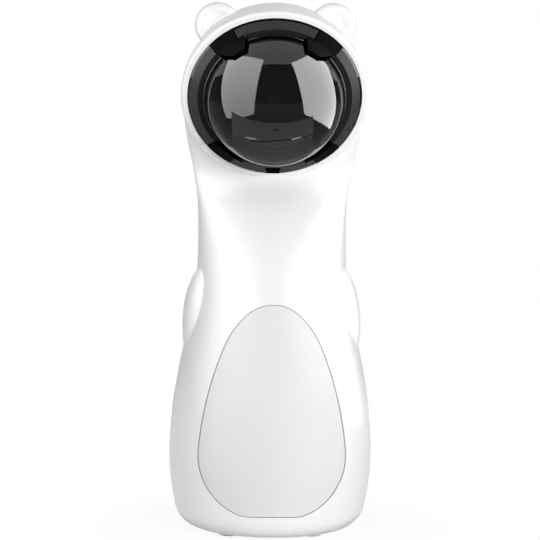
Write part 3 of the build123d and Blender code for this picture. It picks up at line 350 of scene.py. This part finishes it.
class TOY_OT_face(ToyOperator, bpy.types.Operator):
    """Finish the smoked dome and its black frame"""
    bl_idname = "laser_toy.face"
    bl_label = "Finish face"

    def execute(self, context):
        s = context.scene.laser_toy_face
        paint(["face_dome"], smoked("smoked_dome", tuple(s.dome_colour), s.dome_gloss))
        frame_black = plastic("frame_black", tuple(s.frame_colour), 0.5, 0.0004, Specular_IOR_Level=0.02)
        paint(["face_bezel"], frame_black)
        border = etched_border()
        satin = plastic("border_satin", tuple(s.border_colour), 0.3, 0.0003, depth=0.000006,
                        Specular_IOR_Level=0.25)
        border.data.materials.append(satin)
        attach(border, "toy_body")
        # painted shade: a dark ring stands in for the shade at the dome's foot
        root = root_shade_ring()
        root.data.materials.append(plastic("root_painted_shade", grey(30), 0.5, 0.0004, Specular_IOR_Level=0.05))
        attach(root, "toy_body")
        return {"FINISHED"}


class TOY_OT_works(ToyOperator, bpy.types.Operator):
    """Finish the laser turret, its gears, the motor and the tilting plate"""
    bl_idname = "laser_toy.works"
    bl_label = "Finish works"

    def execute(self, context):
        black = plastic("works_black", grey(34), 0.45, 0.0005)
        paint(["cradle_plate", "turret_disc", "aim_lever", "brush_contacts"], black)
        paint(["drive_gear", "motor_pinion"], plastic("gear_acetal", grey(232), 0.38, 0.0006, change=0.03))
        steel = metal("turned_steel", (0.55, 0.55, 0.56, 1.0), 0.3)
        paint(["turret_axle", "axle_clip", "motor_shaft"], steel)
        paint(["gear_motor"], metal("motor_can", (0.52, 0.52, 0.53, 1.0), 0.36, (12.0, 1.0, 1.0)))
        brass = metal("brass", (0.74, 0.55, 0.25, 1.0), 0.28)
        paint(["slip_rings", "laser_module"], brass)
        lens = plastic("lens_glass", (0.1, 0.1, 0.11, 1.0), 0.05, 0.001, Transmission_Weight=0.9)
        paint(["laser_lens"], lens)
        return {"FINISHED"}


class TOY_OT_power(ToyOperator, bpy.types.Operator):
    """Finish the battery bay, circuit board, screws and feet"""
    bl_idname = "laser_toy.power"
    bl_label = "Finish power parts"

    def execute(self, context):
        paint(["battery_tray"], plastic("tray_white", grey(236), 0.45, 0.0006))
        paint(["battery_cells"], plastic("cell_sleeve", grey(70), 0.25, 0.003, change=0.1))
        steel = metal("plated_steel", (0.62, 0.62, 0.63, 1.0), 0.27)
        paint(["battery_contacts", "base_screws", "shell_screws", "board_screws", "usb_socket"], steel)
        paint(["main_board"], plastic("board_green", (0.02, 0.16, 0.06, 1.0), 0.35, 0.002, change=0.3))
        paint(["tact_switch"], plastic("switch_black", grey(30), 0.4, 0.0005))
        paint(["rubber_feet"], plastic("foot_rubber", grey(232), 0.75, 0.0005, depth=0.00003))
        paint(["base_plate"], plastic("base_white", grey(238), 0.5, 0.0006))
        return {"FINISHED"}


class TOY_OT_controls(ToyOperator, bpy.types.Operator):
    """Finish the mode button and the indicator light"""
    bl_idname = "laser_toy.controls"
    bl_label = "Finish controls"

    def execute(self, context):
        paint(["mode_button"], plastic("button_grey", grey(196), 0.42, 0.0005))
        clear = plastic("clear_pipe", (0.9, 0.92, 0.92, 1.0), 0.12, 0.001, Transmission_Weight=0.8)
        paint(["light_pipe"], clear)
        paint(["indicator_led"], plastic("led_lens", (0.75, 0.78, 0.8, 1.0), 0.15, 0.001))
        return {"FINISHED"}


# ---------------------------------------------------------------- studio
def direction(azimuth, elevation):
    """Unit vector: azimuth 0 is straight ahead of the toy and 90 is to its right in the view."""
    a, e = np.radians(azimuth), np.radians(elevation)
    return np.stack((np.sin(a) * np.cos(e), -np.cos(a) * np.cos(e), np.sin(e)), -1)


def glow(name, levels, along="Z", start=CARD_LOW, stop=CARD_HIGH):
    """Emission that runs from the first level to the second between two places on one of the object's axes."""
    made, tree, out = material(name)
    light = tree.nodes.new("ShaderNodeEmission")
    light.inputs["Strength"].default_value = levels[0]
    if levels[0] != levels[1]:
        place = tree.nodes.new("ShaderNodeTexCoord")
        split = tree.nodes.new("ShaderNodeSeparateXYZ")
        tree.links.new(place.outputs["Object"], split.inputs["Vector"])
        rise = node(tree, "ShaderNodeMapRange", From_Min=start, From_Max=stop,
                    To_Min=levels[0], To_Max=levels[1])
        tree.links.new(split.outputs[along], rise.inputs["Value"])
        tree.links.new(rise.outputs["Result"], light.inputs["Strength"])
    tree.links.new(light.outputs["Emission"], out.inputs["Surface"])
    return made


def reflected_only(made):
    """The object is seen in reflections and lights nothing else."""
    made.visible_camera = False
    made.visible_diffuse = False
    made.visible_shadow = False
    made.visible_transmission = False


def panel(name, radius, levels, aims):
    """Curved reflecting card at one distance from the face.

    aims is a 3 by 3 grid of (azimuth, elevation). Each point is the sum of the nine aims, as unit vectors,
    weighted by the quadratic through three points taken along both ways of the grid.
    """
    t = np.linspace(0, 1, 17)
    share = np.stack((2 * (t - 0.5) * (t - 1), -4 * t * (t - 1), 2 * t * (t - 0.5)), 1)
    aims = np.array(aims)
    points = np.einsum("ia,jb,abk->ijk", share, share, direction(aims[..., 0], aims[..., 1]))
    points /= np.linalg.norm(points, axis=2, keepdims=True)
    made = grid_object(name, points * radius + FACE_CENTRE)
    made.data.materials.append(glow(name, levels))
    reflected_only(made)


def skyline(name, azimuths, tops, low, radius, levels):
    """Wall round the toy at one distance, whose top is at the elevation that tops gives for each azimuth.

    Each point is centre + radius * direction(azimuth, low + (top - low) * t), with t from 0 to 1.
    """
    across = np.linspace(azimuths[0], azimuths[-1], 97)[:, None]
    rise = np.linspace(0, 1, 13)[None, :]
    height = low + (np.interp(across, azimuths, tops) - low) * rise
    made = grid_object(name, direction(across + 0 * rise, height) * radius + FACE_CENTRE)
    made.data.materials.append(glow(name, levels, "Y", -radius, 0.3 * radius))
    reflected_only(made)


def flag(name, wide, deep, height, levels):
    """Level card over a range of x and a range of y, in metres, shaded from front to back.

    Its points are (x, y, height) on an even grid.
    """
    x, y = np.meshgrid(np.linspace(*wide, 9), np.linspace(*deep, 9), indexing="ij")
    made = grid_object(name, np.stack((x, y, np.full_like(x, height)), -1))
    made.data.materials.append(glow(name, levels, "Y", *deep))
    reflected_only(made)


def lamp(name, azimuth, elevation, distance, size, power):
    """Oblong area lamp that faces the toy's middle and isn't itself seen, in reflections either."""
    data = bpy.data.lights.new(name, "AREA")
    data.shape = "RECTANGLE"
    data.size, data.size_y = size
    data.energy = power
    made = bpy.data.objects.new(name, data)
    bpy.context.scene.collection.objects.link(made)
    middle = Vector((0.0, 0.0, LAMP_AIM))
    place = Vector(direction(azimuth, elevation)) * distance
    turn = place.to_track_quat("Z", "Y").to_matrix().to_4x4()
    made.matrix_world = Matrix.Translation(middle + place) @ turn
    made.visible_glossy = False
    made.visible_transmission = False
    made.visible_camera = False


def camera(distance, width):
    """Long-lens camera a little above the toy, with a trace of tilt."""
    data = bpy.data.cameras.new("camera")
    data.sensor_fit = "HORIZONTAL"
    data.lens = data.sensor_width * distance / width
    data.clip_end = 20.0
    made = bpy.data.objects.new("camera", data)
    bpy.context.scene.collection.objects.link(made)
    aim = Vector(VIEW_AIM) * MM
    place = Vector(direction(VIEW_AZIMUTH, VIEW_ELEVATION)) * distance
    turn = place.to_track_quat("Z", "Y").to_matrix().to_4x4()
    roll = Matrix.Rotation(math.radians(VIEW_ROLL), 4, "Z")
    made.matrix_world = Matrix.Translation(aim + place) @ turn @ roll
    bpy.context.scene.camera = made


def seen_rays(tree):
    """1 for camera, glossy and transmission rays, and 0 for the rest."""
    path = tree.nodes.new("ShaderNodeLightPath")
    total = path.outputs["Is Camera Ray"]
    for name in ("Is Glossy Ray", "Is Transmission Ray"):
        both = tree.nodes.new("ShaderNodeMath")
        both.operation = "MAXIMUM"
        tree.links.new(total, both.inputs[0])
        tree.links.new(path.outputs[name], both.inputs[1])
        total = both.outputs["Value"]
    return total


def room(level):
    """World that looks white and lights evenly at the given level."""
    world = bpy.data.worlds.new("room")
    bpy.context.scene.world = world
    world.use_nodes = True
    tree = world.node_tree
    tree.nodes.clear()
    out = tree.nodes.new("ShaderNodeOutputWorld")
    light = node(tree, "ShaderNodeBackground", Color=(1.0, 1.0, 1.0, 1.0))
    mix = node(tree, "ShaderNodeMapRange", To_Min=level, To_Max=1.0)
    tree.links.new(seen_rays(tree), mix.inputs["Value"])
    tree.links.new(mix.outputs["Result"], light.inputs["Strength"])
    tree.links.new(light.outputs["Background"], out.inputs["Surface"])


def floor():
    """Pale floor: it keeps the toy's soft shadow near it and goes to plain white further out."""
    radius = np.concatenate(([0.0], np.geomspace(0.02, 6.0, 28)))[None, :]
    angle = np.radians(np.linspace(0, 360, 65)[:-1])[:, None]
    points = np.stack((radius * np.cos(angle), radius * np.sin(angle), 0 * radius * angle), 2)
    made = grid_object("floor", points, closed=True)
    skin, tree, out = material("floor_white")
    place = tree.nodes.new("ShaderNodeTexCoord")
    reach = tree.nodes.new("ShaderNodeVectorMath")
    reach.operation = "LENGTH"
    tree.links.new(place.outputs["Object"], reach.inputs[0])
    far = node(tree, "ShaderNodeMapRange", From_Min=FADE_START, From_Max=FADE_STOP,
               To_Min=FADE_SHARE, To_Max=1.0)
    far.interpolation_type = "SMOOTHSTEP"
    tree.links.new(reach.outputs["Value"], far.inputs["Value"])
    share = tree.nodes.new("ShaderNodeMath")
    share.operation = "MULTIPLY"
    tree.links.new(far.outputs["Result"], share.inputs[0])
    tree.links.new(seen_rays(tree), share.inputs[1])
    matt = node(tree, "ShaderNodeBsdfDiffuse", Color=(0.95, 0.95, 0.95, 1.0))
    white = node(tree, "ShaderNodeEmission", Strength=1.0)
    mix = tree.nodes.new("ShaderNodeMixShader")
    tree.links.new(share.outputs["Value"], mix.inputs["Fac"])
    tree.links.new(matt.outputs["BSDF"], mix.inputs[1])
    tree.links.new(white.outputs["Emission"], mix.inputs[2])
    tree.links.new(mix.outputs["Shader"], out.inputs["Surface"])
    made.data.materials.append(skin)


class TOY_OT_studio(ToyOperator, bpy.types.Operator):
    """Build the floor, lamps, reflecting panels and camera"""
    bl_idname = "laser_toy.studio"
    bl_label = "Build studio"

    def execute(self, context):
        s = context.scene.laser_toy_studio
        camera(s.distance, s.view_width)
        room(s.fill)
        floor()
        lamp("key_lamp", *KEY_LAMP, s.key)
        lamp("side_lamp", *SIDE_LAMP, s.side)
        skyline("dark_wall", WALL_AZIMUTHS, WALL_TOPS, WALL_FOOT, WALL_RADIUS, WALL_LEVELS)
        for name, card in FLAGS.items():
            flag(name, *card)
        for name, card in PANELS.items():
            panel(name, *card)
        context.scene.view_settings.view_transform = "Standard"
        return {"FINISHED"}


class TOY_PT_panel(bpy.types.Panel):
    """Sidebar panel that lists the steps and their settings."""
    bl_idname = "TOY_PT_panel"
    bl_label = "Laser toy"
    bl_space_type = "VIEW_3D"
    bl_region_type = "UI"
    bl_category = "Laser toy"

    def draw(self, context):
        for step in STEPS:
            self.layout.operator(step.bl_idname)
        for name, group in GROUPS.items():
            box = self.layout.box()
            for key in group.__annotations__:
                box.prop(getattr(context.scene, name), key)


STEPS = (TOY_OT_shells, TOY_OT_face, TOY_OT_works, TOY_OT_power, TOY_OT_controls, TOY_OT_studio)
GROUPS = {
    "laser_toy_shells": ShellSettings,
    "laser_toy_face": FaceSettings,
    "laser_toy_studio": StudioSettings,
}


def register():
    for group in GROUPS.values():
        bpy.utils.register_class(group)
    for key, group in GROUPS.items():
        setattr(bpy.types.Scene, key, bpy.props.PointerProperty(type=group))
    for kind in (*STEPS, TOY_PT_panel):
        bpy.utils.register_class(kind)


def unregister():
    for kind in (TOY_PT_panel, *reversed(STEPS)):
        bpy.utils.unregister_class(kind)
    for key in GROUPS:
        delattr(bpy.types.Scene, key)
    for group in GROUPS.values():
        bpy.utils.unregister_class(group)


def main():
    """Run every step in order."""
    register()
    bpy.ops.laser_toy.shells()
    bpy.ops.laser_toy.face()
    bpy.ops.laser_toy.works()
    bpy.ops.laser_toy.power()
    bpy.ops.laser_toy.controls()
    bpy.ops.laser_toy.studio()


if __name__ == "__main__":
    main()
